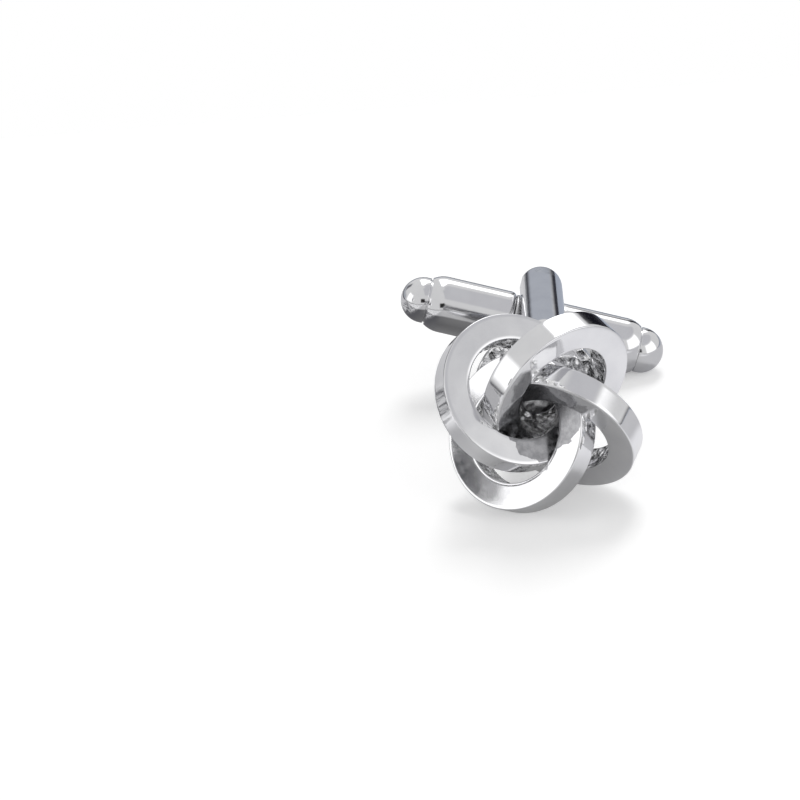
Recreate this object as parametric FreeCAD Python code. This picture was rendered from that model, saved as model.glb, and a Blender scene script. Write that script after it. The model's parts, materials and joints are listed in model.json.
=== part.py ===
import FreeCAD, Part
import math
import os

# Cufflink with a love-knot head of four interlocked rings and a swivelling bar on a forked post.
# Everything is built about the post: Z runs out through the head, X along the bar, Y along the
# pivot pin, with the zero point in the middle of the knot. The last step lays the cufflink down
# on a table, where it rests on a ring, an arm of the post and a ball end. Millimetres and degrees.

Vector = FreeCAD.Vector
ALONG_X = Vector(1, 0, 0)
ALONG_Y = Vector(0, 1, 0)
ALONG_Z = Vector(0, 0, 1)
CENTRE = Vector(0, 0, 0)

# Knot rings: flat bands of rectangular section, each one tilted about its own radial line
ring_count = 4
ring_outer_radius = 5.45
ring_band_width = 1.88
ring_thickness = 1.86
ring_edge_bevel = 0.10
ring_offset = 2.08
ring_tilt = 42.3
knot_turn = 70.0

# Back plate: a round plate with a groove for each ring on its front
plate_radius = 4.4
plate_thickness = 1.0
plate_edge_bevel = 0.2
ring_seat_depth = 0.35
seat_clearance = 0.02
crossing_clearance = 0.02

# Forked post: half-round wire bent into a U with a flat foot
arm_width = 3.05
arm_thickness = 2.05
arm_crown_rise = 1.1
arm_end_overhang = 0.8
bend_inner_radius = 1.0
foot_flat_depth = 0.45
post_length = 15.85

# Foot rivet through the post's foot and the back plate
rivet_radius = 0.8
rivet_head_radius = 1.5
rivet_head_height = 0.6
rivet_head_bevel = 0.15
rivet_peen_radius = 1.15
rivet_peen_depth = 0.4

# Swivelling bar: a hub, two sleeves and two ball ends
bar_length = 20.0
sleeve_wall = 0.74
sleeve_shoulder_drop = 0.34
sleeve_shoulder_length = 1.12
sleeve_inner_round = 0.4
ball_radius = 1.7
ball_groove_depth = 0.12
ball_groove_width = 0.12
ball_shank_length = 0.37
ball_spigot_length = 1.5
hub_radius = 1.45
hub_waist_drop = 0.04
hub_spigot_length = 2.5

# Pivot pin and friction washers
pin_radius = 0.75
pin_flat_depth = 0.04
pin_flat_margin = 0.1
washer_inset = 0.15
washer_thickness = 0.2

# Detent spring: a flat hairpin whose legs lie along the pin's flats
spring_strip_thickness = 0.2
spring_strip_width = 1.1
spring_bend_distance = 2.6
spring_leg_reach = 1.6

# Clearances
press_clearance = 0.005
running_clearance = 0.03
side_clearance = 0.15
hub_clearance = 0.15
spring_clearance = 0.05
spring_room = 0.258

# Rest pose on a table: the head leans back, rolls over to the right ball end and faces -Y
rest_lean = -7.279
rest_roll = 17.861
rest_yaw = -2.243

# Places that follow from the sizes
tilt_angle = math.radians(ring_tilt)
knot_half_depth = ring_outer_radius * math.sin(tilt_angle) + ring_thickness / 2 * math.cos(tilt_angle)
plate_front = ring_seat_depth - knot_half_depth
plate_back = plate_front - plate_thickness
pivot_height = plate_back - post_length
spring_inner = pin_radius + press_clearance
spring_outer = spring_inner + spring_strip_thickness
sleeve_bore_radius = math.hypot(spring_outer, spring_strip_width / 2) + spring_room
sleeve_radius = sleeve_bore_radius + sleeve_wall
sleeve_end_radius = sleeve_radius - sleeve_shoulder_drop
sleeve_inner_end = hub_radius + hub_clearance
arm_inner = sleeve_radius + side_clearance
arm_outer = arm_inner + arm_thickness
arm_half_width = arm_width / 2
arm_crown_radius = (arm_half_width ** 2 + arm_crown_rise ** 2) / (2 * arm_crown_rise)
bend_outer_radius = bend_inner_radius + arm_thickness
bend_height = plate_back + foot_flat_depth - bend_outer_radius
bend_side = arm_inner - bend_inner_radius
throat_height = bend_height + bend_inner_radius
ball_centre = bar_length / 2 - ball_radius
sleeve_outer_end = ball_centre - ball_shank_length
hub_spigot_end = sleeve_inner_end + hub_spigot_length
hub_half_height = arm_inner - washer_thickness - 2 * running_clearance
PIVOT = Vector(0, 0, pivot_height)


def polygon_face(points):
    return Part.Face(Part.makePolygon(points + [points[0]]))


def face_of(edges):
    return Part.Face(Part.Wire(edges))


def line(start, end):
    return Part.LineSegment(start, end).toShape()


def arc(start, middle, end):
    return Part.Arc(start, middle, end).toShape()


def moved(shape, offset):
    copy = shape.copy()
    copy.translate(offset)
    return copy


def mirrored_in_x(shape):
    return shape.mirror(CENTRE, ALONG_X)


def mirrored_in_y(shape):
    return shape.mirror(CENTRE, ALONG_Y)


def rod_along_y(radius, half_length):
    """A round rod along the pivot line, centred on the bar's middle."""
    return Part.makeCylinder(radius, 2 * half_length, PIVOT - ALONG_Y * half_length, ALONG_Y)


def rod_along_x(radius, start, end):
    """A round rod along the bar's centre line."""
    return Part.makeCylinder(radius, end - start, PIVOT + ALONG_X * start, ALONG_X)


# Knot head
def flat_ring(growth=0.0):
    """A flat band ring about Z with bevelled edges, grown on all sides for cutting its seat."""
    outer = ring_outer_radius + growth
    inner = ring_outer_radius - ring_band_width - growth
    half = ring_thickness / 2 + growth
    bevel = ring_edge_bevel
    section = polygon_face([
        Vector(inner + bevel, 0, -half),
        Vector(outer - bevel, 0, -half),
        Vector(outer, 0, bevel - half),
        Vector(outer, 0, half - bevel),
        Vector(outer - bevel, 0, half),
        Vector(inner + bevel, 0, half),
        Vector(inner, 0, half - bevel),
        Vector(inner, 0, bevel - half),
    ])
    return section.revolve(CENTRE, ALONG_Z, 360)


def placed_ring(index, growth=0.0):
    """One whole ring in its place: tilted, set off from the middle and turned round the knot."""
    ring = flat_ring(growth)
    ring.rotate(CENTRE, ALONG_X, ring_tilt)
    ring.translate(ALONG_X * ring_offset)
    ring.rotate(CENTRE, ALONG_Z, knot_turn + index * 360 / ring_count)
    return ring


def knot_ring(index):
    """One ring, relieved where it hooks tightly round the next ring."""
    return placed_ring(index).cut(placed_ring(index + 1, crossing_clearance))


def back_plate():
    """The round plate behind the knot, grooved for the rings and bored for the rivet."""
    half_profile = polygon_face([
        Vector(0, 0, plate_back),
        Vector(plate_radius - plate_edge_bevel, 0, plate_back),
        Vector(plate_radius, 0, plate_back + plate_edge_bevel),
        Vector(plate_radius, 0, plate_front),
        Vector(0, 0, plate_front),
    ])
    plate = half_profile.revolve(CENTRE, ALONG_Z, 360)
    for index in range(ring_count):
        plate = plate.cut(placed_ring(index, seat_clearance))
    hole = Part.makeCylinder(rivet_radius + press_clearance, plate_thickness, ALONG_Z * plate_back)
    return plate.cut(hole)


# Forked post
def arm_section(height):
    """The half-round section of the post's wire, across the upper arm at a height."""
    side_top = arm_outer - arm_crown_rise
    left_foot = Vector(-arm_half_width, arm_inner, height)
    right_foot = Vector(arm_half_width, arm_inner, height)
    right_top = Vector(arm_half_width, side_top, height)
    left_top = Vector(-arm_half_width, side_top, height)
    crown = Vector(0, arm_outer, height)
    return face_of([
        line(left_foot, right_foot),
        line(right_foot, right_top),
        arc(right_top, crown, left_top),
        line(left_top, left_foot),
    ])


def arm_end_section(height):
    """The right half of the arm's section, turned to make the rounded end of the arm."""
    side_top = arm_outer - arm_crown_rise
    crown_centre = arm_outer - arm_crown_radius
    half_angle = math.atan2(arm_half_width, arm_crown_radius - arm_crown_rise) / 2
    along_crown = Vector(
        arm_crown_radius * math.sin(half_angle),
        crown_centre + arm_crown_radius * math.cos(half_angle),
        height,
    )
    foot_middle = Vector(0, arm_inner, height)
    foot_corner = Vector(arm_half_width, arm_inner, height)
    side_corner = Vector(arm_half_width, side_top, height)
    crown = Vector(0, arm_outer, height)
    return face_of([
        line(foot_middle, foot_corner),
        line(foot_corner, side_corner),
        arc(side_corner, along_crown, crown),
        line(crown, foot_middle),
    ])


def upper_half_fork():
    """The upper arm with its rounded end, its bend and half of the foot."""
    end_height = pivot_height - arm_end_overhang
    arm = arm_section(end_height).extrude(ALONG_Z * (bend_height - end_height))
    rounded_end = arm_end_section(end_height).revolve(Vector(0, 0, end_height), ALONG_Y, 180)
    bend_centre = Vector(0, bend_side, bend_height)
    bend = arm_section(bend_height).revolve(bend_centre, ALONG_X, 90)
    foot_section = arm_section(bend_height)
    foot_section.rotate(bend_centre, ALONG_X, 90)
    half_foot = foot_section.extrude(ALONG_Y * -bend_side)
    return arm.fuse([rounded_end, bend, half_foot])


def rivet_shank(clearance):
    """The rivet's shank and its spread end, which is flush with the inside of the foot."""
    length = plate_front - throat_height
    shank = Part.makeCylinder(rivet_radius + clearance, length, ALONG_Z * throat_height)
    peen = Part.makeCone(
        rivet_peen_radius + clearance,
        rivet_radius + clearance,
        rivet_peen_depth,
        ALONG_Z * throat_height,
    )
    return shank.fuse(peen)


def post_fork():
    """The U-shaped post: two arms, a foot cut flat against the plate, pin holes and rivet hole."""
    half = upper_half_fork()
    fork = half.fuse(mirrored_in_y(half)).removeSplitter()
    reach = 2 * arm_outer
    above_plate = Part.makeBox(2 * reach, 2 * reach, reach, Vector(-reach, -reach, plate_back))
    fork = fork.cut(above_plate)
    fork = fork.cut(rod_along_y(pin_radius + press_clearance, reach))
    return fork.cut(rivet_shank(press_clearance)).removeSplitter()


def post_rivet():
    """The rivet with a low bevelled head on the front of the plate."""
    head_top = plate_front + rivet_head_height
    head_profile = polygon_face([
        Vector(0, 0, plate_front),
        Vector(rivet_head_radius, 0, plate_front),
        Vector(rivet_head_radius, 0, head_top - rivet_head_bevel),
        Vector(rivet_head_radius - rivet_head_bevel, 0, head_top),
        Vector(0, 0, head_top),
    ])
    head = head_profile.revolve(CENTRE, ALONG_Z, 360)
    return head.fuse(rivet_shank(0)).removeSplitter()


# Pivot
def fork_envelope():
    """The space across both arms inside their crowns, to which the pin's ends are ground flush."""
    side_top = arm_outer - arm_crown_rise
    base = pivot_height - arm_half_width
    corner = Vector(arm_half_width, side_top, base)
    edges = [
        arc(corner, Vector(0, arm_outer, base), Vector(-arm_half_width, side_top, base)),
        line(Vector(-arm_half_width, side_top, base), Vector(-arm_half_width, -side_top, base)),
        arc(
            Vector(-arm_half_width, -side_top, base),
            Vector(0, -arm_outer, base),
            Vector(arm_half_width, -side_top, base),
        ),
        line(Vector(arm_half_width, -side_top, base), corner),
    ]
    return face_of(edges).extrude(ALONG_Z * arm_width)


def pivot_pin():
    """The pin riveted flush in the arms, with four shallow flats in the middle for the spring."""
    pin = rod_along_y(pin_radius, arm_outer).common(fork_envelope())
    across_flats = 2 * (pin_radius - pin_flat_depth)
    pin_flat_length = spring_strip_width + 2 * pin_flat_margin
    corner = PIVOT - Vector(across_flats / 2, pin_flat_length / 2, across_flats / 2)
    square = Part.makeBox(across_flats, pin_flat_length, across_flats, corner)
    collar = rod_along_y(2 * pin_radius, pin_flat_length / 2)
    return pin.cut(collar.cut(square))


def friction_washer():
    """The upper washer, between the hub and the inside of an arm."""
    start = PIVOT + ALONG_Y * (hub_half_height + running_clearance)
    disc = Part.makeCylinder(hub_radius - washer_inset, washer_thickness, start, ALONG_Y)
    return disc.cut(rod_along_y(pin_radius + running_clearance, arm_outer))


# Swivelling bar
def spring_slot():
    """The slot in the hub for the hairpin spring, open at the left spigot's end."""
    half_height = spring_outer + 2 * spring_clearance
    half_width = spring_strip_width / 2 + spring_clearance
    start = PIVOT + Vector(-hub_spigot_end, -half_width, -half_height)
    length = hub_spigot_end + spring_leg_reach + spring_clearance
    return Part.makeBox(length, 2 * half_width, 2 * half_height, start)


def toggle_hub():
    """The turning hub: a barrel round the pin, a waist nearly as thick as the bar and two spigots."""
    barrel = rod_along_y(hub_radius, hub_half_height)
    spigot_radius = sleeve_bore_radius - press_clearance
    waist = rod_along_x(hub_half_height - hub_waist_drop, -sleeve_inner_end, sleeve_inner_end)
    spigots = rod_along_x(spigot_radius, -hub_spigot_end, hub_spigot_end)
    hub = barrel.fuse([waist, spigots]).removeSplitter()
    hub = hub.cut(rod_along_y(pin_radius + running_clearance, arm_outer))
    return hub.cut(spring_slot())


def detent_spring():
    """The flat hairpin: two legs along the pin's flats, joined by a half-round bend."""
    inner = spring_inner
    outer = spring_outer
    side = -spring_strip_width / 2
    def point(x, z):
        return PIVOT + Vector(x, side, z)
    bend = -spring_bend_distance
    tip = spring_leg_reach
    strip = face_of([
        line(point(tip, inner), point(bend, inner)),
        arc(point(bend, inner), point(bend - inner, 0), point(bend, -inner)),
        line(point(bend, -inner), point(tip, -inner)),
        line(point(tip, -inner), point(tip, -outer)),
        line(point(tip, -outer), point(bend, -outer)),
        arc(point(bend, -outer), point(bend - outer, 0), point(bend, outer)),
        line(point(bend, outer), point(tip, outer)),
        line(point(tip, outer), point(tip, inner)),
    ])
    return strip.extrude(ALONG_Y * spring_strip_width)


def right_sleeve():
    """The hollow half of the bar, with a rounded inner edge and a rounded outer shoulder."""
    drop = sleeve_shoulder_drop
    shoulder_start = sleeve_outer_end - sleeve_shoulder_length
    shoulder_radius = (sleeve_shoulder_length ** 2 + drop ** 2) / (2 * drop)
    shoulder_half_angle = math.asin(sleeve_shoulder_length / shoulder_radius) / 2
    round_corner = sleeve_inner_round * (1 - math.sqrt(0.5))
    def point(x, radius):
        return PIVOT + Vector(x, 0, radius)
    along_shoulder = point(
        shoulder_start + shoulder_radius * math.sin(shoulder_half_angle),
        sleeve_radius - shoulder_radius * (1 - math.cos(shoulder_half_angle)),
    )
    inner_edge = point(sleeve_inner_end, sleeve_radius - sleeve_inner_round)
    along_inner_edge = point(sleeve_inner_end + round_corner, sleeve_radius - round_corner)
    tube_start = point(sleeve_inner_end + sleeve_inner_round, sleeve_radius)
    tube_end = point(shoulder_start, sleeve_radius)
    outer_edge = point(sleeve_outer_end, sleeve_end_radius)
    bore_end = point(sleeve_outer_end, sleeve_bore_radius)
    bore_start = point(sleeve_inner_end, sleeve_bore_radius)
    profile = face_of([
        line(bore_start, inner_edge),
        arc(inner_edge, along_inner_edge, tube_start),
        line(tube_start, tube_end),
        arc(tube_end, along_shoulder, outer_edge),
        line(outer_edge, bore_end),
        line(bore_end, bore_start),
    ])
    return profile.revolve(PIVOT, ALONG_X, 360)


def right_ball_end():
    """The round end with its short shank, its seam groove and the spigot pressed into the sleeve."""
    groove_end = sleeve_outer_end + ball_groove_width
    ball = Part.makeSphere(ball_radius, PIVOT + ALONG_X * ball_centre)
    dome = ball.cut(rod_along_x(2 * ball_radius, 0, ball_centre))
    shank = rod_along_x(ball_radius, groove_end, ball_centre)
    neck = rod_along_x(ball_radius - ball_groove_depth, sleeve_outer_end, groove_end)
    spigot_radius = sleeve_bore_radius - press_clearance
    spigot = rod_along_x(spigot_radius, sleeve_outer_end - ball_spigot_length, sleeve_outer_end)
    return dome.fuse([shank, neck, spigot]).removeSplitter()


def all_pieces():
    pieces = {f"knot_ring_{index + 1}": knot_ring(index) for index in range(ring_count)}
    pieces["back_plate"] = back_plate()
    pieces["post_rivet"] = post_rivet()
    pieces["post_fork"] = post_fork()
    pieces["pivot_pin"] = pivot_pin()
    pieces["upper_washer"] = friction_washer()
    pieces["lower_washer"] = mirrored_in_y(friction_washer())
    pieces["toggle_hub"] = toggle_hub()
    pieces["detent_spring"] = detent_spring()
    pieces["right_sleeve"] = right_sleeve()
    pieces["left_sleeve"] = mirrored_in_x(right_sleeve())
    pieces["right_ball_end"] = right_ball_end()
    pieces["left_ball_end"] = mirrored_in_x(right_ball_end())
    return pieces


def laid_down(pieces):
    """Tips the cufflink from its post's upright axes onto the table, with its box centred at zero."""
    for shape in pieces.values():
        shape.rotate(CENTRE, ALONG_X, 90 + rest_lean)
        shape.rotate(CENTRE, ALONG_Y, rest_roll)
        shape.rotate(CENTRE, ALONG_Z, rest_yaw)
    box = Part.makeCompound(list(pieces.values())).optimalBoundingBox(False)
    foot = Vector((box.XMin + box.XMax) / 2, (box.YMin + box.YMax) / 2, box.ZMin)
    return {name: moved(shape, -foot) for name, shape in pieces.items()}


os.makedirs("parts", exist_ok=True)
for name, shape in laid_down(all_pieces()).items():
    shape.exportStep(f"parts/{name}.step")
    print(name, len(shape.Solids), "solid", round(shape.Volume, 2), "mm3", "valid" if shape.isValid() else "BAD")
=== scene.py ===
import json
import math
from collections import namedtuple

import bmesh
import bpy
from mathutils import Matrix, Vector, noise


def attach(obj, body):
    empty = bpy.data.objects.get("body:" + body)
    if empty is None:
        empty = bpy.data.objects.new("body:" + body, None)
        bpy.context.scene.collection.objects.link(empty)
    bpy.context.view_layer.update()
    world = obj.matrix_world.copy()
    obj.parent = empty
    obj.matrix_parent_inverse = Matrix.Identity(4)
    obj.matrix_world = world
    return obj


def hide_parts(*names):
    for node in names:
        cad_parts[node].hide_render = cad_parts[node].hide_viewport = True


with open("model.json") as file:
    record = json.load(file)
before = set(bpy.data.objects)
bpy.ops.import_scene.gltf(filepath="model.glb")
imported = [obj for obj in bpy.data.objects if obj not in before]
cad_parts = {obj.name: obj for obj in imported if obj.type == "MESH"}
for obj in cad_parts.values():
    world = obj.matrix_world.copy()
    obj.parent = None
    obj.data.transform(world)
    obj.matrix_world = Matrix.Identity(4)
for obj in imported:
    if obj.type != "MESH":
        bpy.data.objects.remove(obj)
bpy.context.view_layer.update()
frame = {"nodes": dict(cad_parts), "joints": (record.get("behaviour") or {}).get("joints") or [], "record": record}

# A bright plated love-knot cufflink on white. The pieces are turned, bent and carved in millimetres
# about the post: Z runs out through the head, X along the bar, Y along the pivot pin, with the zero
# point in the middle of the knot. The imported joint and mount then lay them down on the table.
MILLIMETRE = 0.001

# Sizes of the pieces, as in the part's source
ring_count = 4
ring_outer_radius = 5.45
ring_band_width = 1.88
ring_thickness = 1.86
ring_edge_round = 0.10
ring_offset = 2.08
ring_tilt = 42.3
knot_turn = 70.0
crossing_clearance = 0.02
plate_radius = 4.4
plate_thickness = 1.0
plate_edge_round = 0.2
ring_seat_depth = 0.35
rivet_radius = 0.8
rivet_head_radius = 1.5
rivet_head_height = 0.6
rivet_head_round = 0.15
rivet_peen_radius = 1.15
rivet_peen_depth = 0.4
arm_width = 3.05
arm_thickness = 2.05
arm_crown_rise = 1.1
arm_end_overhang = 0.8
arm_edge_round = 0.15
bend_inner_radius = 1.0
foot_flat_depth = 0.45
post_length = 15.85
bar_length = 20.0
sleeve_radius = 2.1
sleeve_bore_radius = 1.36
sleeve_shoulder_drop = 0.34
sleeve_shoulder_length = 1.12
sleeve_inner_round = 0.4
sleeve_inner_end = 1.6
sleeve_edge_round = 0.05
ball_radius = 1.7
ball_groove_depth = 0.12
ball_groove_width = 0.12
ball_shank_length = 0.37
ball_spigot_length = 1.5
hub_radius = 1.45
hub_waist_drop = 0.04
hub_spigot_length = 2.5
hub_edge_round = 0.12
pin_radius = 0.75
pin_flat_depth = 0.04
pin_flat_length = 1.3
washer_radius = 1.3
washer_thickness = 0.2
washer_edge_round = 0.05
slot_half_width = 0.6
slot_half_height = 1.055
slot_reach = 1.65
press_clearance = 0.005
running_clearance = 0.03
side_clearance = 0.15

# Finish of the dressed pieces: the broken edge of the rivet's spread end, and the relief of the casting,
# by its depth, lumps to a millimetre, finer lumps to a lump, contrast, and share on the rivet's head
rivet_peen_round = 0.03
cast_depth = 0.12
cast_grain = 1.1
cast_finer_lumps = 3
cast_contrast = 3
cast_on_rivet_head = 0.5

# Where the polishing wheel doesn't reach on a ring's front, left rougher and darkened with painted shade: it
# starts at this angle at the hole and later further out, in degrees and degrees a millimetre, and its edge strays
# by tenths of a millimetre
UNPOLISHED_AND_SHADED = "unpolished"
unpolished_shade_start = 104
unpolished_shade_end = 175
unpolished_shade_slant = 15
unpolished_shade_ragged = 0.45
unpolished_shade_edge = 0.03

# The knot's hollow, round its middle, where the walls of the rings stay as cast, in a tone that is partly painted
# light
hollow_radius = 3.2

# Fineness of the meshes: counts, the longest step in millimetres, the angle in degrees from which an
# edge is sharp, and the distances at which points are on the axis, on a surface or on a ring's front
ring_segments = 240
bar_segments = 160
pin_segments = 96
pin_end_rings = 8
round_steps = 5
crown_steps = 24
arm_steps = 60
arm_end_steps = 48
bend_steps = 18
foot_steps = 10
shoulder_steps = 16
dome_steps = 40
longest_step = 0.2
sharp_angle = 38
at_axis = 1e-6
at_surface = 1e-4
at_front = 1e-3

# Places that follow from the sizes
ring_inner_radius = ring_outer_radius - ring_band_width
ring_half_thickness = ring_thickness / 2
tilt_angle = math.radians(ring_tilt)
knot_half_depth = ring_outer_radius * math.sin(tilt_angle) + ring_half_thickness * math.cos(tilt_angle)
plate_front = ring_seat_depth - knot_half_depth
plate_back = plate_front - plate_thickness
pivot_height = plate_back - post_length
arm_inner = sleeve_radius + side_clearance
arm_outer = arm_inner + arm_thickness
arm_half_width = arm_width / 2
arm_crown_radius = (arm_half_width ** 2 + arm_crown_rise ** 2) / (2 * arm_crown_rise)
bend_outer_radius = bend_inner_radius + arm_thickness
bend_height = plate_back + foot_flat_depth - bend_outer_radius
bend_side = arm_inner - bend_inner_radius
throat_height = bend_height + bend_inner_radius
arm_end_height = pivot_height - arm_end_overhang
ball_centre = bar_length / 2 - ball_radius
sleeve_outer_end = ball_centre - ball_shank_length
spigot_radius = sleeve_bore_radius - press_clearance
hub_half_height = arm_inner - washer_thickness - 2 * running_clearance
hub_waist_radius = hub_half_height - hub_waist_drop
hub_spigot_end = sleeve_inner_end + hub_spigot_length
pivot_bore_radius = pin_radius + running_clearance

HEAD_BODY = "head_and_post"
BAR_BODY = "toggle_bar"
ALONG_X = Matrix.Translation((0, 0, pivot_height)) @ Matrix.Rotation(math.radians(90), 4, "Y")
ALONG_Y = Matrix.Translation((0, 0, pivot_height)) @ Matrix.Rotation(math.radians(-90), 4, "X")
ALONG_Z = Matrix.Identity(4)


def laid_down():
    """From the post's own axes, in millimetres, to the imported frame, in metres."""
    joint = frame["joints"][0]
    pin = Vector(joint["axis"]).normalized()
    head = -Vector(frame["record"]["mounts"][0]["axis"])
    bar = pin.cross(head).normalized()
    turn = Matrix((bar, pin, bar.cross(pin))).transposed().to_4x4()
    to_metres = Matrix.Scale(MILLIMETRE, 4)
    to_pivot = Matrix.Translation((0, 0, -pivot_height))
    return Matrix.Translation(joint["pos_m"]) @ turn @ to_metres @ to_pivot


TO_TABLE = laid_down()


# Outlines
def rounded(corners, closed=True):
    """A smooth outline through corners (along, out, radius), each corner rounded by its radius."""
    outline = []
    count = len(corners)
    for index, (along, out, radius) in enumerate(corners):
        here = Vector((along, out))
        is_end = not closed and index in (0, count - 1)
        if radius == 0 or is_end:
            outline.append(here)
            continue
        to_before = (Vector(corners[index - 1][:2]) - here).normalized()
        to_after = (Vector(corners[(index + 1) % count][:2]) - here).normalized()
        half_angle = to_before.angle(to_after) / 2
        centre = here + (to_before + to_after).normalized() * radius / math.sin(half_angle)
        first_arm = here + to_before * radius / math.tan(half_angle) - centre
        last_arm = here + to_after * radius / math.tan(half_angle) - centre
        turn = last_arm.angle_signed(first_arm)
        for step in range(round_steps + 1):
            outline.append(centre + Matrix.Rotation(turn * step / round_steps, 2) @ first_arm)
    return outline


def divided(outline, closed=True):
    """The same outline with its long straight runs cut into short steps."""
    points = []
    runs = len(outline) if closed else len(outline) - 1
    for index in range(runs):
        start = outline[index]
        end = outline[(index + 1) % len(outline)]
        pieces = max(1, math.ceil((end - start).length / longest_step))
        for piece in range(pieces):
            points.append(start.lerp(end, piece / pieces))
    if not closed:
        points.append(outline[-1])
    return points


def arc_points(centre, radius, first, last, steps):
    """Points (along, out) on an arc between two angles in degrees."""
    points = []
    for step in range(steps + 1):
        angle = math.radians(first + (last - first) * step / steps)
        along = centre[0] + radius * math.cos(angle)
        out = centre[1] + radius * math.sin(angle)
        points.append(Vector((along, out)))
    return points


# Meshes
def turned(outline, place, segments, closed=True):
    """A mesh turned from an outline of (along, out) points about the Z axis of a place."""
    mesh = bmesh.new()
    rows = []
    for along, out in outline:
        if out < at_axis:
            centre = mesh.verts.new(place @ Vector((0, 0, along)))
            rows.append([centre] * segments)
            continue
        row = []
        for segment in range(segments):
            angle = 2 * math.pi * segment / segments
            spot = Vector((out * math.cos(angle), out * math.sin(angle), along))
            row.append(mesh.verts.new(place @ spot))
        rows.append(row)
    runs = len(rows) if closed else len(rows) - 1
    for index in range(runs):
        first = rows[index]
        second = rows[(index + 1) % len(rows)]
        for segment in range(segments):
            after = (segment + 1) % segments
            corners = (first[segment], first[after], second[after], second[segment])
            distinct = list(dict.fromkeys(corners))
            if len(distinct) > 2:
                mesh.faces.new(distinct)
    bmesh.ops.recalc_face_normals(mesh, faces=mesh.faces)
    return mesh


def solid_turned(corners, place):
    """A solid turned from corners that start and end on its axis."""
    outline = divided(rounded(corners, closed=False), closed=False)
    return turned(outline, place, bar_segments, closed=False)


def rod_mesh(radius, half_length, place):
    """A plain rod about the middle of a place, as a tool for boring."""
    return solid_turned([
        (-half_length, 0, 0),
        (-half_length, radius, 0),
        (half_length, radius, 0),
        (half_length, 0, 0),
    ], place)


def roughened(mesh, share_at):
    """Sinks each point against its normal by its share of an uneven, cast-like depth."""
    mesh.normal_update()
    for vert in mesh.verts:
        share = share_at(vert.co)
        if share > 0:
            coarse = noise.noise(vert.co * cast_grain)
            fine = noise.noise(vert.co * cast_grain * cast_finer_lumps)
            lump = (1 + math.tanh(cast_contrast * (coarse + fine / 2))) / 2
            vert.co -= vert.normal * cast_depth * share * lump
    return mesh


def scratch_object(name, mesh):
    """An object of a mesh, in whatever units the mesh has."""
    data = bpy.data.meshes.new(name)
    mesh.to_mesh(data)
    mesh.free()
    made = bpy.data.objects.new(name, data)
    bpy.context.scene.collection.objects.link(made)
    return made


def carved(piece, steps):
    """Cuts or joins other meshes, given as (operation, mesh), and forgets them afterwards."""
    for operation, mesh in steps:
        tool = scratch_object("tool", mesh)
        change = piece.modifiers.new("carve", "BOOLEAN")
        change.operation = operation
        change.solver = "EXACT"
        change.object = tool
        graph = bpy.context.evaluated_depsgraph_get()
        result = bmesh.new()
        result.from_object(piece, graph)
        bmesh.ops.remove_doubles(result, verts=result.verts, dist=at_surface)
        piece.modifiers.clear()
        result.to_mesh(piece.data)
        result.free()
        bpy.data.meshes.remove(tool.data)
    return piece


def placed(piece, node, body, materials):
    """Lays a finished piece down on the table, in place of its CAD node."""
    data = piece.data
    data.transform(TO_TABLE)
    for material in materials:
        data.materials.append(material)
    data.shade_smooth()
    data.set_sharp_from_angle(angle=math.radians(sharp_angle))
    weighted = piece.modifiers.new("flat faces stay flat", "WEIGHTED_NORMAL")
    weighted.keep_sharp = True
    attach(piece, body)
    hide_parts(node)


# Node materials
def worked_out(tree, operation, *values):
    """A Math node of numbers and sockets."""
    node = tree.nodes.new("ShaderNodeMath")
    node.operation = operation
    for socket, value in zip(node.inputs, values):
        if isinstance(value, bpy.types.NodeSocket):
            tree.links.new(value, socket)
        else:
            socket.default_value = value
    return node.outputs[0]


def eased(tree, value, start, end, first=0.0, last=1.0):
    """A smooth change from the first level to the last while a value goes from start to end."""
    node = tree.nodes.new("ShaderNodeMapRange")
    node.interpolation_type = "SMOOTHSTEP"
    node.inputs["From Min"].default_value = start
    node.inputs["From Max"].default_value = end
    node.inputs["To Min"].default_value = first
    node.inputs["To Max"].default_value = last
    tree.links.new(value, node.inputs["Value"])
    return node.outputs["Result"]


def mixed(tree, share, first, second):
    """A blend of two colours or numbers, of which either may come from a socket."""
    node = tree.nodes.new("ShaderNodeMix")
    node.data_type = "RGBA"
    tree.links.new(share, node.inputs["Factor"])
    for name, value in (("A", first), ("B", second)):
        socket = next(item for item in node.inputs if item.name == name and item.type == "RGBA")
        if isinstance(value, bpy.types.NodeSocket):
            tree.links.new(value, socket)
        else:
            socket.default_value = (*value, 1)
    return next(item for item in node.outputs if item.type == "RGBA")


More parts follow.
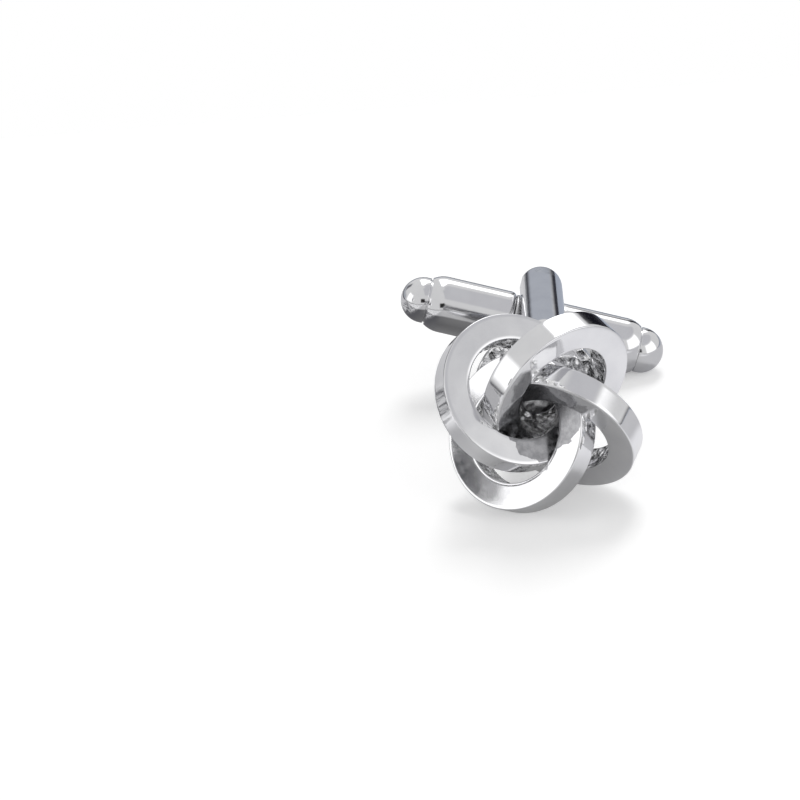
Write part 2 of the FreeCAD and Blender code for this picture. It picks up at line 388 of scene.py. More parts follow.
class Nodes:
    """A material's node tree with short ways to add and join nodes."""

    # Nearly all of a cloudy pattern lies between these levels
    cloud_low = 0.3
    cloud_high = 0.7

    def __init__(self, name, metallic=1.0):
        self.material = bpy.data.materials.new(name)
        self.material.use_nodes = True
        self.tree = self.material.node_tree
        self.shader = self.tree.nodes["Principled BSDF"]
        self.shader.inputs["Metallic"].default_value = metallic
        spot = self.tree.nodes.new("ShaderNodeTexCoord")
        scaled = self.tree.nodes.new("ShaderNodeVectorMath")
        scaled.operation = "SCALE"
        scaled.inputs["Scale"].default_value = 1 / MILLIMETRE
        self.join(spot.outputs["Object"], scaled.inputs[0])
        self.millimetres = scaled.outputs[0]

    def join(self, source, target):
        """Links two sockets."""
        self.tree.links.new(source, target)

    def axis(self, name):
        """How far a spot lies along an axis, in millimetres."""
        apart = self.tree.nodes.new("ShaderNodeSeparateXYZ")
        self.join(self.millimetres, apart.inputs[0])
        return apart.outputs[name]

    def noise(self, scale, detail, roughness=0.5, distortion=0.0):
        """A cloudy pattern, as fine as its scale to the millimetre."""
        node = self.tree.nodes.new("ShaderNodeTexNoise")
        node.inputs["Scale"].default_value = scale
        node.inputs["Detail"].default_value = detail
        node.inputs["Roughness"].default_value = roughness
        node.inputs["Distortion"].default_value = distortion
        self.join(self.millimetres, node.inputs["Vector"])
        return node.outputs["Fac"]

    def cells(self, scale, smoothness):
        """A pattern of dents that meet in ridges, as fine as its scale to the millimetre."""
        node = self.tree.nodes.new("ShaderNodeTexVoronoi")
        node.feature = "SMOOTH_F1"
        node.inputs["Scale"].default_value = scale
        node.inputs["Smoothness"].default_value = smoothness
        self.join(self.millimetres, node.inputs["Vector"])
        return node.outputs["Distance"]

    def mark(self, name):
        """A value that the points of the mesh carry."""
        node = self.tree.nodes.new("ShaderNodeAttribute")
        node.attribute_name = name
        return node.outputs["Fac"]

    def ramp(self, source, stops):
        """Colours by a value; stops are (value, colour)."""
        node = self.tree.nodes.new("ShaderNodeValToRGB")
        elements = node.color_ramp.elements
        while len(elements) < len(stops):
            elements.new(0.5)
        for element, (position, colour) in zip(elements, stops):
            element.position = position
            element.color = (*colour, 1)
        self.join(source, node.inputs["Fac"])
        return node.outputs["Color"]

    def between(self, clouds, low, high):
        """A cloudy pattern brought into a range of values."""
        node = self.tree.nodes.new("ShaderNodeMapRange")
        node.inputs["From Min"].default_value = self.cloud_low
        node.inputs["From Max"].default_value = self.cloud_high
        node.inputs["To Min"].default_value = low
        node.inputs["To Max"].default_value = high
        self.join(clouds, node.inputs["Value"])
        return node.outputs["Result"]

    def bump(self, height, depth, before=None):
        """Relief of a depth in millimetres, on top of the relief before it."""
        node = self.tree.nodes.new("ShaderNodeBump")
        node.inputs["Distance"].default_value = depth * MILLIMETRE
        self.join(height, node.inputs["Height"])
        if before is not None:
            self.join(before, node.inputs["Normal"])
        return node.outputs["Normal"]

    def finish(self, colour, roughness, normal):
        """The metal with its colour, roughness and relief."""
        self.join(colour, self.shader.inputs["Base Color"])
        self.join(roughness, self.shader.inputs["Roughness"])
        self.join(normal, self.shader.inputs["Normal"])
        return self.material

    def show(self, shader):
        """Another shader in place of the metal."""
        self.join(shader.outputs[0], self.tree.nodes["Material Output"].inputs["Surface"])
        self.tree.nodes.remove(self.shader)
        return self.material


def polished_plate():
    """Mirror-bright plate with hand-polished waves; rougher where the wheel can't reach, with a grey, blotched
    tone there that is painted shade.
    """
    nodes = Nodes("polished_plate")
    clouds = nodes.noise(scale=0.5, detail=3)
    bright = nodes.ramp(clouds, [(0.35, (0.665, 0.665, 0.68)), (0.65, (0.71, 0.71, 0.72))])
    bright_roughness = nodes.between(nodes.noise(scale=2.5, detail=4), low=0.05, high=0.10)
    blotches = nodes.noise(scale=1.6, detail=5, roughness=0.6)
    # Dark grey tone where the wheel can't reach: painted shade on a rougher finish
    dull = nodes.ramp(blotches, [(0.36, (0.25, 0.25, 0.26)), (0.62, (0.36, 0.36, 0.37))])
    dull_roughness = nodes.between(nodes.noise(scale=6.0, detail=3), low=0.16, high=0.26)
    edge_clouds = nodes.noise(scale=1.1, detail=5)
    strays = nodes.between(edge_clouds, low=-unpolished_shade_ragged, high=unpolished_shade_ragged)
    reach = worked_out(nodes.tree, "ADD", nodes.mark(UNPOLISHED_AND_SHADED), strays)
    is_dull = eased(nodes.tree, reach, 1 - unpolished_shade_edge, 1 + unpolished_shade_edge)
    tone = mixed(nodes.tree, is_dull, bright, dull)
    roughness = mixed(nodes.tree, is_dull, bright_roughness, dull_roughness)
    waves = nodes.bump(nodes.noise(scale=0.45, detail=1), depth=0.008)
    grain = nodes.bump(nodes.noise(scale=14.0, detail=2), depth=0.0006, before=waves)
    return nodes.finish(tone, roughness, grain)


def cast_plate():
    """Plated but unpolished casting: lumpy, with bright facets and dull pits; its speckled tone reaches white,
    brighter than the polished plate, as painted light in the hollow and the rings' holes.
    """
    nodes = Nodes("cast_plate", metallic=0.9)
    specks = nodes.noise(scale=2.0, detail=4, roughness=0.6, distortion=0.4)
    # Random specks up to white, brighter than the polished plate: painted light
    tone = nodes.ramp(specks, [
        (0.36, (0.40, 0.40, 0.40)),
        (0.43, (0.92, 0.92, 0.93)),
        (0.52, (1.0, 1.0, 1.0)),
    ])
    roughness = nodes.between(nodes.noise(scale=3.0, detail=3), low=0.04, high=0.14)
    dents = nodes.bump(nodes.cells(scale=1.5, smoothness=0.04), depth=0.4)
    skin = nodes.bump(nodes.noise(scale=4.0, detail=3), depth=0.06, before=dents)
    return nodes.finish(tone, roughness, skin)


def satin_plate():
    """Plate that was never buffed, on backs and hidden parts: softly uneven and half bright."""
    nodes = Nodes("satin_plate")
    clouds = nodes.noise(scale=1.6, detail=5)
    tone = nodes.ramp(clouds, [(0.36, (0.52, 0.52, 0.53)), (0.62, (0.62, 0.62, 0.63))])
    roughness = nodes.between(nodes.noise(scale=6.0, detail=3), low=0.18, high=0.28)
    lumps = nodes.bump(nodes.noise(scale=1.4, detail=2), depth=0.02)
    marks = nodes.bump(nodes.noise(scale=20.0, detail=2), depth=0.002, before=lumps)
    return nodes.finish(tone, roughness, marks)


def bright_steel():
    """Ground steel: fine tool marks and a little dullness."""
    nodes = Nodes("bright_steel")
    clouds = nodes.noise(scale=3.0, detail=4)
    tone = nodes.ramp(clouds, [(0.35, (0.55, 0.56, 0.58)), (0.65, (0.66, 0.67, 0.69))])
    roughness = nodes.between(nodes.noise(scale=6.0, detail=3), low=0.12, high=0.22)
    marks = nodes.bump(nodes.noise(scale=20.0, detail=3), depth=0.0015)
    return nodes.finish(tone, roughness, marks)


def spring_steel():
    """Tempered strip: darker, with a faint straw and blue bloom."""
    nodes = Nodes("spring_steel")
    clouds = nodes.noise(scale=1.2, detail=3)
    tone = nodes.ramp(clouds, [(0.35, (0.36, 0.37, 0.42)), (0.65, (0.50, 0.47, 0.42))])
    roughness = nodes.between(nodes.noise(scale=5.0, detail=3), low=0.20, high=0.36)
    marks = nodes.bump(nodes.noise(scale=16.0, detail=3), depth=0.004)
    return nodes.finish(tone, roughness, marks)


POLISHED = polished_plate()
CAST = cast_plate()
SATIN = satin_plate()
STEEL = bright_steel()
SPRING = spring_steel()


# Knot rings
def ring_place(index):
    """The place of a ring: tilted, set off from the middle and turned round the knot."""
    turn = Matrix.Rotation(math.radians(knot_turn + index * 360 / ring_count), 4, "Z")
    return turn @ Matrix.Translation((ring_offset, 0, 0)) @ Matrix.Rotation(tilt_angle, 4, "X")


def ring_mesh(index, growth=0.0):
    """A flat band ring with softly rounded edges, grown on all sides for cutting its neighbour."""
    outer = ring_outer_radius + growth
    inner = ring_inner_radius - growth
    half = ring_half_thickness + growth
    corners = [(half, inner), (half, outer), (-half, outer), (-half, inner)]
    outline = divided(rounded([(along, out, ring_edge_round) for along, out in corners]))
    return turned(outline, ring_place(index), ring_segments)


def hole_of_ring(index):
    """How rough a ring is at a point: as cast on the wall of its hole, polished elsewhere."""
    back = ring_place(index).inverted()
    wall_top = ring_half_thickness - 2 * ring_edge_round

    def share(spot):
        local = back @ spot
        out = math.hypot(local.x, local.y)
        on_wall = out < ring_inner_radius + at_surface and local.z < wall_top
        return 1.0 if on_wall else 0.0

    return share


def mark_unpolished_and_shaded(piece, index):
    """Marks how far each point of a ring's front lies in the rougher corner darkened with painted shade: 1 at its
    edge.
    """
    marks = piece.data.attributes.new(UNPOLISHED_AND_SHADED, "FLOAT", "POINT")
    back = ring_place(index).inverted()
    for vert, mark in zip(piece.data.vertices, marks.data):
        local = back @ vert.co
        out = math.hypot(local.x, local.y)
        around = math.degrees(math.atan2(local.y, local.x))
        if local.z > ring_half_thickness - at_front and around < unpolished_shade_end:
            start = unpolished_shade_start + unpolished_shade_slant * (out - ring_inner_radius)
            mark.value = min(max(1 + math.radians(around - start) * out, 0), 2)


def knot_ring(index):
    """One ring of the knot, relieved where it hooks round the next one."""
    mesh = roughened(ring_mesh(index), hole_of_ring(index))
    piece = scratch_object(f"ring_{index + 1}", mesh)
    carved(piece, [("DIFFERENCE", ring_mesh(index + 1, crossing_clearance))])
    materials = [POLISHED, CAST, SATIN]
    back = ring_place(index).inverted()
    wall_top = ring_half_thickness - ring_edge_round
    wall_out = ring_outer_radius - ring_edge_round
    for face in piece.data.polygons:
        local = back @ face.center
        out = math.hypot(local.x, local.y)
        in_hole = out < ring_inner_radius + ring_edge_round
        in_hollow = math.hypot(face.center.x, face.center.y) < hollow_radius
        on_rough_wall = in_hole or (in_hollow and out > wall_out)
        if on_rough_wall and local.z < wall_top:
            face.material_index = materials.index(CAST)
        elif local.z < -wall_top and out < wall_out:
            face.material_index = materials.index(SATIN)
    mark_unpolished_and_shaded(piece, index)
    placed(piece, f"knot_ring_{index + 1}", HEAD_BODY, materials)


# Back plate and rivet
def back_plate():
    """The rough cast plate behind the knot, grooved for the rings and bored for the rivet."""
    mesh = solid_turned([
        (plate_back, 0, 0),
        (plate_back, plate_radius, plate_edge_round),
        (plate_front, plate_radius, plate_edge_round / 2),
        (plate_front, 0, 0),
    ], ALONG_Z)
    roughened(mesh, lambda spot: 1.0 if spot.z > plate_front - at_surface else 0.0)
    cuts = [("DIFFERENCE", ring_mesh(index, crossing_clearance)) for index in range(ring_count)]
    cuts.append(("DIFFERENCE", rivet_shank_mesh(press_clearance)))
    piece = carved(scratch_object("plate", mesh), cuts)
    materials = [CAST, SATIN]
    for face in piece.data.polygons:
        is_front = face.center.z > plate_front - plate_edge_round
        face.material_index = materials.index(CAST if is_front else SATIN)
    placed(piece, "back_plate", HEAD_BODY, materials)


def rivet_shank_mesh(clearance):
    """The rivet's shank and spread end, as a tool for boring its hole."""
    return solid_turned([
        (throat_height - clearance, 0, 0),
        (throat_height - clearance, rivet_peen_radius + clearance, 0),
        (throat_height + rivet_peen_depth, rivet_radius + clearance, 0),
        (plate_front + rivet_head_height, rivet_radius + clearance, 0),
        (plate_front + rivet_head_height, 0, 0),
    ], ALONG_Z)


def post_rivet():
    """The rivet that holds the post to the plate, with a low rounded head in the knot's hollow."""
    head_top = plate_front + rivet_head_height
    mesh = solid_turned([
        (throat_height, 0, 0),
        (throat_height, rivet_peen_radius, rivet_peen_round),
        (throat_height + rivet_peen_depth, rivet_radius, 0),
        (plate_front, rivet_radius, 0),
        (plate_front, rivet_head_radius, 0),
        (head_top, rivet_head_radius, rivet_head_round),
        (head_top, 0, 0),
    ], ALONG_Z)
    roughened(mesh, lambda spot: cast_on_rivet_head if spot.z > head_top - rivet_head_round else 0.0)
    piece = scratch_object("rivet", mesh)
    materials = [STEEL, SATIN]
    for face in piece.data.polygons:
        is_head = face.center.z > plate_front
        face.material_index = materials.index(SATIN if is_head else STEEL)
    placed(piece, "post_rivet", HEAD_BODY, materials)


# Forked post
def half_section():
    """The right half of the arm's section as (across, height) from the middle of its flat side."""
    side_top = arm_thickness - arm_crown_rise
    crown_centre = arm_thickness - arm_crown_radius
    crown_start = math.degrees(math.atan2(side_top - crown_centre, arm_half_width))
    side = [(0, 0, 0), (arm_half_width, 0, arm_edge_round), (arm_half_width, side_top, 0)]
    outline = rounded(side, closed=False)[:-1]
    outline += arc_points((0, crown_centre), arm_crown_radius, crown_start, 90, crown_steps)
    return divided(outline, closed=False)


def fork_stations():
    """Places along the inside of the fork, each with the way out to its rounded side."""
    stations = []
    up = Vector((0, 0, 1))
    side = Vector((0, 1, 0))
    for step in range(arm_steps):
        height = arm_end_height + (bend_height - arm_end_height) * step / arm_steps
        stations.append((Vector((0, arm_inner, height)), side))
    for step in range(bend_steps):
        angle = math.pi / 2 * step / bend_steps
        out = side * math.cos(angle) + up * math.sin(angle)
        stations.append((Vector((0, bend_side, bend_height)) + out * bend_inner_radius, out))
    for step in range(foot_steps + 1):
        stations.append((Vector((0, bend_side * (1 - step / foot_steps), throat_height)), up))
    return stations


def fork_half():
    """The upper arm with its rounded end, its bend and half of the foot, open at the middle."""
    mesh = bmesh.new()
    half = half_section()
    loop = half + [Vector((-point.x, point.y)) for point in reversed(half[1:-1])]
    rows = []
    for base, out in fork_stations():
        rows.append([mesh.verts.new(base + Vector((point.x, 0, 0)) + out * point.y) for point in loop])
    for first, second in zip(rows, rows[1:]):
        for index in range(len(loop)):
            after = (index + 1) % len(loop)
            mesh.faces.new((first[index], first[after], second[after], second[index]))
    fans = []
    for step in range(arm_end_steps + 1):
        angle = math.pi * step / arm_end_steps
        fan = []
        for point in half:
            across = point.x * math.cos(angle)
            down = point.x * math.sin(angle)
            fan.append(mesh.verts.new((across, arm_inner + point.y, arm_end_height - down)))
        fans.append(fan)
    for first, second in zip(fans, fans[1:]):
        for index in range(len(half) - 1):
            mesh.faces.new((first[index], first[index + 1], second[index + 1], second[index]))
    bmesh.ops.remove_doubles(mesh, verts=mesh.verts, dist=at_surface)
    return mesh


def post_fork():
    """The U-shaped post of half-round wire: two round-ended arms and a foot flat on the plate."""
    mesh = fork_half()
    copy = bmesh.ops.duplicate(mesh, geom=mesh.verts[:] + mesh.edges[:] + mesh.faces[:])
    twins = [item for item in copy["geom"] if isinstance(item, bmesh.types.BMVert)]
    bmesh.ops.scale(mesh, vec=(1, -1, 1), verts=twins)
    bmesh.ops.remove_doubles(mesh, verts=mesh.verts, dist=at_surface)
    everything = mesh.verts[:] + mesh.edges[:] + mesh.faces[:]
    cut = bmesh.ops.bisect_plane(
        mesh, geom=everything, plane_co=(0, 0, plate_back), plane_no=(0, 0, 1), clear_outer=True
    )
    rim = [item for item in cut["geom_cut"] if isinstance(item, bmesh.types.BMEdge)]
    bmesh.ops.edgenet_fill(mesh, edges=rim)
    bmesh.ops.recalc_face_normals(mesh, faces=mesh.faces)
    pin_holes = rod_mesh(pin_radius + press_clearance, 2 * arm_outer, ALONG_Y)
    piece = scratch_object("fork", mesh)
    carved(piece, [("DIFFERENCE", pin_holes), ("DIFFERENCE", rivet_shank_mesh(press_clearance))])
    placed(piece, "post_fork", HEAD_BODY, [POLISHED])


# Pivot
def crown_height(across):
    """How far out the arm's rounded side lies at a distance from its middle."""
    return arm_outer - arm_crown_radius + math.sqrt(arm_crown_radius ** 2 - across ** 2)


def pivot_pin():
    """The pin: ends ground to the arms' rounded sides, four shallow flats in the middle."""
    mesh = bmesh.new()
    flat_end = pin_flat_length / 2
    flat_reach = pin_radius - pin_flat_depth
    angles = [2 * math.pi * segment / pin_segments for segment in range(pin_segments)]

    def spot(radius, angle, along):
        return Vector((radius * math.cos(angle), along, pivot_height + radius * math.sin(angle)))

    def end_row(radius, side):
        row = []
        for angle in angles:
            height = crown_height(radius * math.cos(angle))
            row.append(mesh.verts.new(spot(radius, angle, side * height)))
        return row

    def flat_row(along):
        row = []
        for angle in angles:
            widest = max(abs(math.cos(angle)), abs(math.sin(angle)))
            row.append(mesh.verts.new(spot(min(pin_radius, flat_reach / widest), angle, along)))
        return row

    def round_row(along):
        return [mesh.verts.new(spot(pin_radius, angle, along)) for angle in angles]

    first_end = [end_row(pin_radius * step / pin_end_rings, -1) for step in range(1, pin_end_rings + 1)]
    last_end = [end_row(pin_radius * step / pin_end_rings, 1) for step in range(pin_end_rings, 0, -1)]
    middle = [round_row(-flat_end), flat_row(-flat_end), flat_row(flat_end), round_row(flat_end)]
    rows = first_end + middle + last_end
    for first, second in zip(rows, rows[1:]):
        for index in range(pin_segments):
            after = (index + 1) % pin_segments
            mesh.faces.new((first[index], first[after], second[after], second[index]))
    for row, side in ((rows[0], -1), (rows[-1], 1)):
        centre = mesh.verts.new(spot(0, 0, side * arm_outer))
        for index in range(pin_segments):
            mesh.faces.new((row[index], row[(index + 1) % pin_segments], centre))
    bmesh.ops.recalc_face_normals(mesh, faces=mesh.faces)
    placed(scratch_object("pin", mesh), "pivot_pin", HEAD_BODY, [STEEL])


def washer(name, node, side):
    """A thin friction washer between the hub and an arm."""
    bore = pivot_bore_radius
    start = hub_half_height + running_clearance
    end = start + washer_thickness
    corners = [(start, bore), (start, washer_radius), (end, washer_radius), (end, bore)]
    outline = rounded([(side * along, out, washer_edge_round) for along, out in corners])
    mesh = turned(outline, ALONG_Y, bar_segments)
    placed(scratch_object(name, mesh), node, BAR_BODY, [STEEL])


# Swivelling bar
def toggle_hub():
    """The hub on the pin: a barrel, a waist and a spigot into each sleeve, slotted for the spring."""
    barrel = solid_turned([
        (-hub_half_height, 0, 0),
        (-hub_half_height, hub_radius, hub_edge_round),
        (hub_half_height, hub_radius, hub_edge_round),
        (hub_half_height, 0, 0),
    ], ALONG_Y)
    shaft = solid_turned([
        (-hub_spigot_end, 0, 0),
        (-hub_spigot_end, spigot_radius, hub_edge_round),
        (-sleeve_inner_end, spigot_radius, 0),
        (-sleeve_inner_end, hub_waist_radius, hub_edge_round),
        (sleeve_inner_end, hub_waist_radius, hub_edge_round),
        (sleeve_inner_end, spigot_radius, 0),
        (hub_spigot_end, spigot_radius, hub_edge_round),
        (hub_spigot_end, 0, 0),
    ], ALONG_X)
    hole = rod_mesh(pivot_bore_radius, 2 * hub_half_height, ALONG_Y)
    slot = bmesh.new()
    bmesh.ops.create_cube(slot, size=2)
    slot_start = -hub_spigot_end - slot_half_width
    slot_middle = Vector(((slot_start + slot_reach) / 2, 0, pivot_height))
    slot_half_sizes = ((slot_reach - slot_start) / 2, slot_half_width, slot_half_height)
    bmesh.ops.scale(slot, vec=slot_half_sizes, verts=slot.verts)
    bmesh.ops.translate(slot, vec=slot_middle, verts=slot.verts)
    piece = scratch_object("hub", barrel)
    carved(piece, [("UNION", shaft), ("DIFFERENCE", hole), ("DIFFERENCE", slot)])
    placed(piece, "toggle_hub", BAR_BODY, [SATIN])


def sleeve(name, node, side):
    """A hollow half of the bar, with a rounded inner edge and a long soft shoulder."""
    length = sleeve_shoulder_length
    shoulder_start = sleeve_outer_end - length
    shoulder_radius = (length ** 2 + sleeve_shoulder_drop ** 2) / (2 * sleeve_shoulder_drop)
    shoulder_centre = (shoulder_start, sleeve_radius - shoulder_radius)
    last = 90 - math.degrees(math.asin(length / shoulder_radius))
    outline = rounded([
        (sleeve_outer_end, sleeve_radius - sleeve_shoulder_drop, 0),
        (sleeve_outer_end, sleeve_bore_radius, sleeve_edge_round),
        (sleeve_inner_end, sleeve_bore_radius, sleeve_edge_round),
        (sleeve_inner_end, sleeve_radius, sleeve_inner_round),
        (shoulder_start, sleeve_radius, 0),
    ], closed=False)[:-1]
    outline += arc_points(shoulder_centre, shoulder_radius, 90, last, shoulder_steps)[:-1]
    outline = [Vector((side * point.x, point.y)) for point in divided(outline)]
    mesh = turned(outline, ALONG_X, bar_segments)
    placed(scratch_object(name, mesh), node, BAR_BODY, [POLISHED])


def ball_end(name, node, side):
    """The round end: a dome, a short shank, the seam groove and the spigot in the sleeve."""
    spigot_end = sleeve_outer_end - ball_spigot_length
    groove_end = sleeve_outer_end + ball_groove_width
    outline = rounded([
        (spigot_end, 0, 0),
        (spigot_end, spigot_radius, sleeve_edge_round),
        (sleeve_outer_end, spigot_radius, 0),
        (sleeve_outer_end, ball_radius - ball_groove_depth, 0),
        (groove_end, ball_radius - ball_groove_depth, 0),
        (groove_end, ball_radius, sleeve_edge_round),
        (ball_centre, ball_radius, 0),
    ], closed=False)[:-1]
    outline += arc_points((ball_centre, 0), ball_radius, 90, 0, dome_steps)
    outline = [Vector((side * point.x, point.y)) for point in divided(outline, closed=False)]
    mesh = turned(outline, ALONG_X, bar_segments, closed=False)
    placed(scratch_object(name, mesh), node, BAR_BODY, [POLISHED])


# The whole cufflink
for ring_index in range(ring_count):
    knot_ring(ring_index)
back_plate()
post_rivet()
post_fork()
pivot_pin()
toggle_hub()
washer("washer_upper", "upper_washer", 1)
washer("washer_lower", "lower_washer", -1)
sleeve("bar_half_right", "right_sleeve", 1)
sleeve("bar_half_left", "left_sleeve", -1)
ball_end("ball_right", "right_ball_end", 1)
ball_end("ball_left", "left_ball_end", -1)
spring_materials = frame["nodes"]["detent_spring"].data.materials
spring_materials.clear()
spring_materials.append(SPRING)


# Studio
def seen_rays(tree):
    """1 for the rays that show a surface as it looks: straight, mirrored or through glass."""
    path = tree.nodes.new("ShaderNodeLightPath")
    glossy = path.outputs["Is Glossy Ray"]
    mirrored = worked_out(tree, "MAXIMUM", glossy, path.outputs["Is Transmission Ray"])
    return worked_out(tree, "MAXIMUM", path.outputs["Is Camera Ray"], mirrored)


# The white room: as the camera sees it, as the metal mirrors it, and its light on matt surfaces
white = (1.0, 1.0, 1.0)
room_white = (0.85, 0.85, 0.85)
room_fill = 0.5

# What stands round the table, as the metal mirrors it, in degrees: azimuth 0 is straight behind the
# object and 90 is to its right. A later panel covers those before it, and its edges are soft.
Panel = namedtuple("Panel", "azimuths elevations softness tone")
lamp_white = (1.6, 1.6, 1.6)
lamp_bright = (3.2, 3.2, 3.2)
ceiling_right = Panel((50, 165), (42, 80), 8, (0.68, 0.68, 0.705))
wall_left = Panel((-75, -20), (-4, 14), 12, (0.49, 0.51, 0.545))
wall_behind = Panel((-17, 14), (-4, 12), 5, (0.475, 0.50, 0.555))
dark_stand_left = Panel((-49, -33), (13, 36), 9, (0.17, 0.17, 0.19))
black_stand_right = Panel((16, 25), (-4, 25), 4, (0.01, 0.01, 0.015))
dark_camera = Panel((172, 193), (9, 27), 5, (0.03, 0.03, 0.03))
below_table = Panel((-180, 180), (-90, 0), 6, (0.04, 0.04, 0.05))
table_edge = Panel((-40, -3), (-14, -4), 3, (0.29, 0.30, 0.315))
box_behind = Panel((-5, 29), (33, 75), 12, lamp_bright)
box_right = Panel((91, 150), (0, 38.5), 9, lamp_white)
box_left = Panel((-118, -86), (5, 36), 7, lamp_white)
surroundings = [
    ceiling_right,
    wall_left,
    wall_behind,
    dark_stand_left,
    black_stand_right,
    dark_camera,
    below_table,
    table_edge,
    box_behind,
    box_right,
    box_left,
]


def within(tree, angle, limits, softness):
    """1 while an angle lies between two limits, and 0 beyond their soft edges."""
    middle = sum(limits) / 2
    half = (limits[1] - limits[0]) / 2
    off_middle = worked_out(tree, "WRAP", worked_out(tree, "SUBTRACT", angle, middle), 180, -180)
    away = worked_out(tree, "ABSOLUTE", off_middle)
    return eased(tree, away, half - softness / 2, half + softness / 2, first=1, last=0)


def studio_world():
    """White all round, with the studio's greyer parts and its soft boxes in what the metal mirrors."""
    world = bpy.data.worlds.new("studio")
    bpy.context.scene.world = world
    world.use_nodes = True
    tree = world.node_tree
    fill = tree.nodes["Background"]
    fill.inputs["Color"].default_value = (*white, 1)
    fill.inputs["Strength"].default_value = room_fill
    spot = tree.nodes.new("ShaderNodeTexCoord")
    apart = tree.nodes.new("ShaderNodeSeparateXYZ")
    tree.links.new(spot.outputs["Generated"], apart.inputs[0])
    around = worked_out(tree, "ARCTAN2", apart.outputs["X"], apart.outputs["Y"])
    azimuth = worked_out(tree, "DEGREES", around)
    elevation = worked_out(tree, "DEGREES", worked_out(tree, "ARCSINE", apart.outputs["Z"]))
    colour = room_white
    for panel in surroundings:
        sideways = within(tree, azimuth, panel.azimuths, panel.softness)
        upwards = within(tree, elevation, panel.elevations, panel.softness)
        colour = mixed(tree, worked_out(tree, "MULTIPLY", sideways, upwards), colour, panel.tone)
    path = tree.nodes.new("ShaderNodeLightPath")
    shown = tree.nodes.new("ShaderNodeBackground")
    tree.links.new(mixed(tree, path.outputs["Is Camera Ray"], colour, white), shown.inputs["Color"])
    chosen = tree.nodes.new("ShaderNodeMixShader")
    tree.links.new(seen_rays(tree), chosen.inputs["Fac"])
    tree.links.new(fill.outputs[0], chosen.inputs[1])
    tree.links.new(shown.outputs[0], chosen.inputs[2])
    tree.links.new(chosen.outputs[0], tree.nodes["World Output"].inputs["Surface"])


# Table top, in millimetres: its half width, and its edges towards the camera and behind
table_half_width = 250
table_front = -250
table_back = 75

# Its paint, as the camera sees it and as the metal mirrors it: painted shade, greyer all over, with a painted
# shadow below the bar and darker behind on the right
table_white = (0.8, 0.8, 0.8)
table_mirrored = (0.68, 0.68, 0.68)
table_painted_shadow_below_bar = (0.16, 0.16, 0.16)
table_shaded = (0.46, 0.50, 0.56)

# Its glow: even for the camera, while in the metal, beside the object and behind it, it is painted light and shade
# that changes by place, with painted light crease lines on the left
table_shown = (0.36, 0.36, 0.36)
table_left = (0.0, 0.0, 0.01)
table_left_painted_glints = (0.6, 0.6, 0.61)
table_under = (0.12, 0.12, 0.12)
table_right = (0.45, 0.45, 0.475)
table_far_right = (0.10, 0.10, 0.12)
table_behind_left = (0.085, 0.085, 0.10)
table_behind_right = (0.0, 0.0, 0.02)

# Where one tone passes into the next, in millimetres to the right or to the back, and in the painted crease lines
below_bar_to_right = (-4, 2)
below_bar_to_back = (-6, -1)
behind_to_right = (-4, 4)
paint_to_behind = (16, 30)
glow_to_behind = (18, 32)
painted_creases_to_left = (-20, -14)
left_to_under = (-14, -5)
under_to_right = (3, 13)
right_to_far_right = (14, 22)
right_to_back = (-4, 2)
painted_crease_levels = (0.48, 0.51)


def table_painted_shade(tree, across, along):
    """The paint of the table as the metal mirrors it: painted shade, greyer than the camera sees, with a painted
    shadow below the bar and a bluish grey behind on the right.
    """
    painted_shadow_below_bar = mixed(tree, eased(tree, across, *below_bar_to_right), table_painted_shadow_below_bar, table_mirrored)
    near = mixed(tree, eased(tree, along, *below_bar_to_back), table_mirrored, painted_shadow_below_bar)
    far = mixed(tree, eased(tree, across, *behind_to_right), table_mirrored, table_shaded)
    return mixed(tree, eased(tree, along, *paint_to_behind), near, far)


def table_painted_glow(nodes, across, along):
    """The glow of the table as the metal mirrors it: painted light and shade by place, with painted light crease
    lines on the left.
    """
    tree = nodes.tree
    painted_creases = eased(tree, nodes.noise(scale=0.22, detail=3, distortion=1.5), *painted_crease_levels)
    painted_creased_left = mixed(tree, painted_creases, table_left, table_left_painted_glints)
    left = mixed(tree, eased(tree, across, *painted_creases_to_left), painted_creased_left, table_left)
    under = mixed(tree, eased(tree, across, *left_to_under), left, table_under)
    right = mixed(tree, eased(tree, along, *right_to_back), table_right, table_far_right)
    to_right = mixed(tree, eased(tree, across, *under_to_right), under, right)
    beside = mixed(tree, eased(tree, across, *right_to_far_right), to_right, table_far_right)
    far = mixed(tree, eased(tree, across, *behind_to_right), table_behind_left, table_behind_right)
    return mixed(tree, eased(tree, along, *glow_to_behind), beside, far)


def studio_floor():
    """A white table top that keeps the object's soft shadow, and shows painted shade and a painted glow in the
    metal.
    """
    mesh = bmesh.new()
    corners = []
    for side, edge in ((-1, table_front), (1, table_front), (1, table_back), (-1, table_back)):
        corners.append(mesh.verts.new(Vector((side * table_half_width, edge, 0)) * MILLIMETRE))
    mesh.faces.new(corners)
    floor = scratch_object("floor", mesh)
    nodes = Nodes("white_table")
    tree = nodes.tree
    across = nodes.axis("X")
    along = nodes.axis("Y")
    # The camera sees even white; the metal sees the painted shade and the painted glow
    straight = tree.nodes.new("ShaderNodeLightPath").outputs["Is Camera Ray"]
    matt = tree.nodes.new("ShaderNodeBsdfDiffuse")
    nodes.join(mixed(tree, straight, table_painted_shade(tree, across, along), table_white), matt.inputs["Color"])
    glow = tree.nodes.new("ShaderNodeEmission")
    nodes.join(mixed(tree, straight, table_painted_glow(nodes, across, along), table_shown), glow.inputs["Color"])
    nodes.join(seen_rays(tree), glow.inputs["Strength"])
    both = tree.nodes.new("ShaderNodeAddShader")
    nodes.join(matt.outputs[0], both.inputs[0])
    nodes.join(glow.outputs[0], both.inputs[1])
    floor.data.materials.append(nodes.show(both))


def direction(azimuth, elevation):
    """A direction out from the object."""
    around = math.radians(azimuth)
    up = math.radians(elevation)
    return Vector((math.sin(around) * math.cos(up), math.cos(around) * math.cos(up), math.sin(up)))


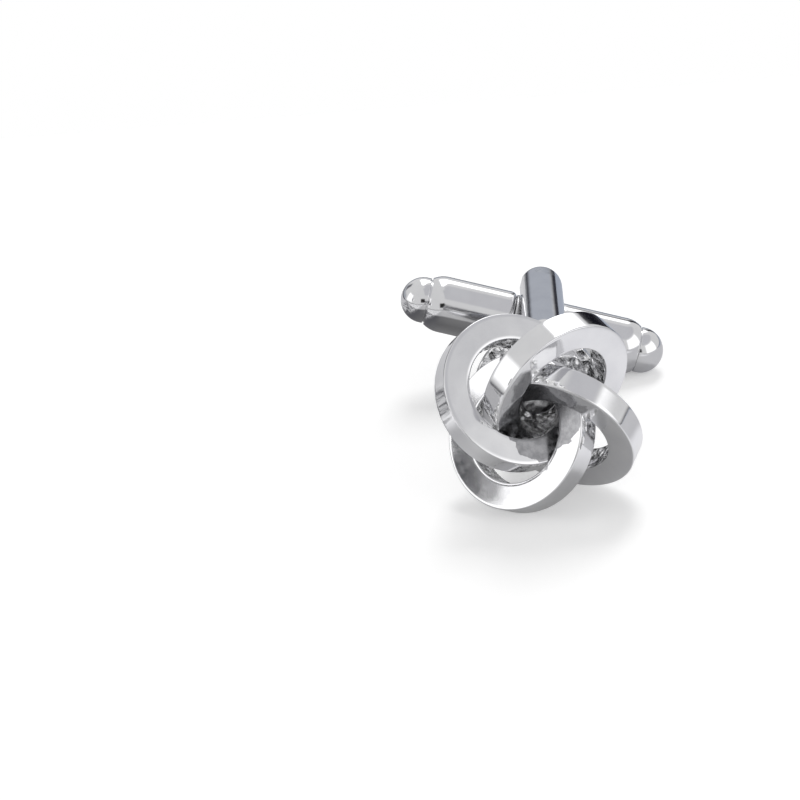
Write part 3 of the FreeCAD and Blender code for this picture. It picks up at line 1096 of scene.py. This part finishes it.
# A glowing card on the left, seen only in the metal, that paints a reflection on the lowest ring: its direction,
# distance, shift sideways and size, and how far across it the ragged edge of its grey part lies, in degrees and
# millimetres
card_azimuth = -104.3
card_elevation = 23
card_distance = 70
card_shift = -8.5
card_half_size = 5.5
card_edge = -2.2
card_edge_softness = 0.05
card_ragged = 1.0


def shaded_card():
    """A glowing card beside the left soft box, seen only in the metal, as a painted reflection: white along one
    side and grey with painted crease lines on the rest.
    """
    mesh = bmesh.new()
    bmesh.ops.create_grid(mesh, x_segments=1, y_segments=1, size=card_half_size * MILLIMETRE)
    card = scratch_object("card", mesh)
    out = direction(card_azimuth, card_elevation)
    level = direction(card_azimuth + 90, 0)
    turn = Matrix((level, out.cross(level), out)).transposed().to_4x4()
    middle = out * card_distance + level * card_shift
    card.matrix_world = Matrix.Translation(middle * MILLIMETRE) @ turn
    nodes = Nodes("shaded_card")
    # Grey with dark crease lines, and white: the painted reflection
    painted_creases = nodes.noise(scale=0.5, detail=4, roughness=0.6, distortion=1.2)
    grey = nodes.ramp(painted_creases, [
        (0.41, (0.02, 0.02, 0.02)),
        (0.45, (0.22, 0.22, 0.23)),
        (0.60, (0.26, 0.26, 0.27)),
        (0.63, lamp_white),
    ])
    strays = nodes.between(nodes.noise(scale=0.6, detail=5), low=-card_ragged, high=card_ragged)
    reach = worked_out(nodes.tree, "ADD", nodes.axis("X"), strays)
    is_grey = eased(nodes.tree, reach, card_edge - card_edge_softness, card_edge + card_edge_softness)
    glow = nodes.tree.nodes.new("ShaderNodeEmission")
    nodes.join(mixed(nodes.tree, is_grey, lamp_white, grey), glow.inputs["Color"])
    card.data.materials.append(nodes.show(glow))
    card.visible_camera = False
    card.visible_diffuse = False
    card.visible_shadow = False


# Lamps: how far out they stand, in metres
lamp_distance = 2.5


def soft_box(name, azimuth, elevation, half_width, half_height, brightness):
    """An evenly bright lamp panel that faces the object, sized by the angles that it fills."""
    data = bpy.data.lights.new(name, "AREA")
    data.shape = "RECTANGLE"
    data.size = 2 * lamp_distance * math.tan(math.radians(half_width))
    data.size_y = 2 * lamp_distance * math.tan(math.radians(half_height))
    data.energy = brightness * math.pi * data.size * data.size_y
    lamp = bpy.data.objects.new(name, data)
    lamp.visible_glossy = False
    bpy.context.scene.collection.objects.link(lamp)
    out = direction(azimuth, elevation)
    lamp.location = out * lamp_distance
    lamp.rotation_euler = out.to_track_quat("Z", "Y").to_euler()


# Camera fitted to the photo, in millimetres and degrees
camera_place = Vector((0.0, -218.79, 101.75))
camera_aim = Vector((-9.41, -8.96, 8.04))
camera_roll = -5.36
camera_lens = 150.98
camera_sensor = 36
camera_nearest = 10


def photo_camera():
    """The camera at the photo's viewing angle."""
    data = bpy.data.cameras.new("photo_camera")
    data.sensor_width = camera_sensor
    data.lens = camera_lens
    data.clip_start = camera_nearest * MILLIMETRE
    camera = bpy.data.objects.new("photo_camera", data)
    bpy.context.scene.collection.objects.link(camera)
    look = (camera_aim - camera_place).to_track_quat("-Z", "Y").to_matrix().to_4x4()
    roll = Matrix.Rotation(math.radians(camera_roll), 4, "Z")
    camera.matrix_world = Matrix.Translation(camera_place * MILLIMETRE) @ look @ roll
    bpy.context.scene.camera = camera


studio_world()
studio_floor()
shaded_card()
soft_box("soft_box_behind", azimuth=12, elevation=54, half_width=8, half_height=16, brightness=8.0)
soft_box("soft_box_right", azimuth=121, elevation=18, half_width=22, half_height=12, brightness=1.6)
soft_box("soft_box_left", azimuth=-102, elevation=20, half_width=11, half_height=11, brightness=1.6)
photo_camera()
bpy.context.scene.view_settings.view_transform = "Standard"
